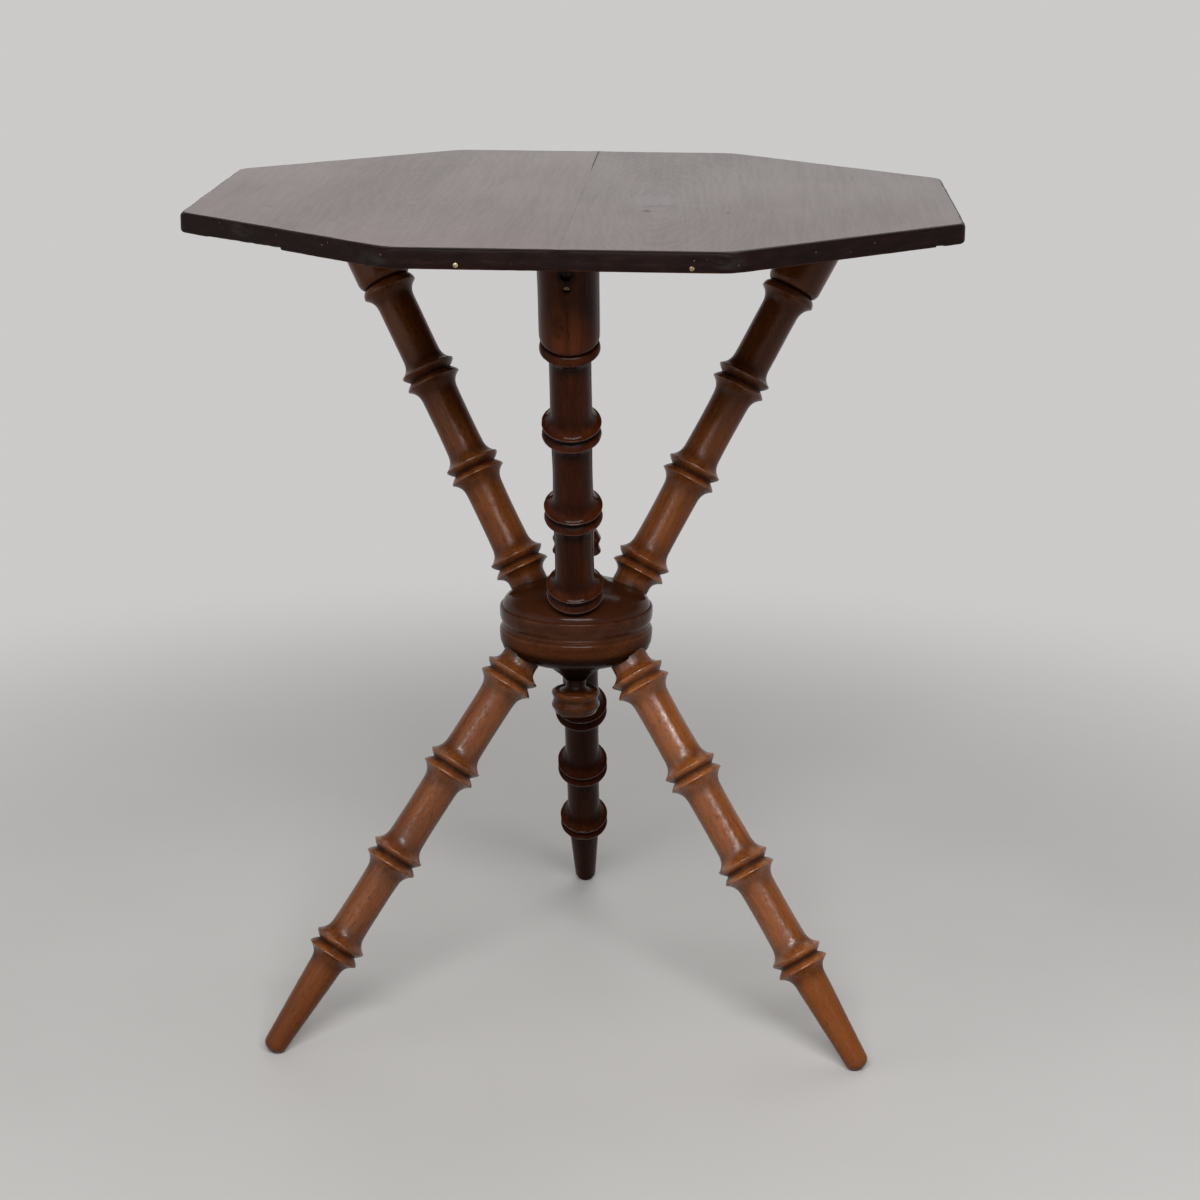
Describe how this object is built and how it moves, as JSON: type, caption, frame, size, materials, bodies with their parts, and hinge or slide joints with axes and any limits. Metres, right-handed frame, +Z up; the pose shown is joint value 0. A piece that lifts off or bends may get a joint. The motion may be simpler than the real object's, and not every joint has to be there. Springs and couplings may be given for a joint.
{
  "type": "side table",
  "caption": "Octagonal side table: a board top on arms turned like bamboo canes that cross legs of the same kind in a round boss with a finial above and a pendant below.",
  "frame": {"origin": "on the floor, under the middle of the top", "axes": "+Z up; -Y is the front, the side of the arm whose screw and nail show; +X is the right side seen from the front"},
  "size_m": [0.56, 0.56, 0.65],
  "materials": {
    "top_board_left": "satin, dark stain, waxed",
    "top_board_right": "satin, dark stain, waxed",
    "arm_front": "satin, dark polish",
    "arm_back_left": "satin, mid brown polish",
    "arm_back_right": "satin, mid brown polish",
    "leg_back": "satin, dark polish",
    "leg_front_left": "satin, mid brown polish",
    "leg_front_right": "satin, mid brown polish",
    "boss": "satin, dark polish",
    "upper_finial": "satin, dark polish",
    "pendant_finial": "satin, mid brown polish",
    "arm_screw_front": "old, tarnished steel",
    "arm_screw_back_left": "old, tarnished steel",
    "arm_screw_back_right": "old, tarnished steel",
    "arm_nail_front": "old, tarnished steel",
    "arm_nail_back_left": "old, tarnished steel",
    "arm_nail_back_right": "old, tarnished steel",
    "edge_tack_left": "old brass, rubbed",
    "edge_tack_right": "old brass, rubbed"
  },
  "bodies": {
    "root": {"top_board_left": "top_board_left", "top_board_right": "top_board_right", "arm_front": "arm_front", "arm_back_left": "arm_back_left", "arm_back_right": "arm_back_right", "leg_back": "leg_back", "leg_front_left": "leg_front_left", "leg_front_right": "leg_front_right", "boss": "boss", "upper_finial": "upper_finial", "pendant_finial": "pendant_finial", "arm_screw_front": "arm_screw_front", "arm_screw_back_left": "arm_screw_back_left", "arm_screw_back_right": "arm_screw_back_right", "arm_nail_front": "arm_nail_front", "arm_nail_back_left": "arm_nail_back_left", "arm_nail_back_right": "arm_nail_back_right", "edge_tack_left": "edge_tack_left", "edge_tack_right": "edge_tack_right"}
  },
  "joints": []
}
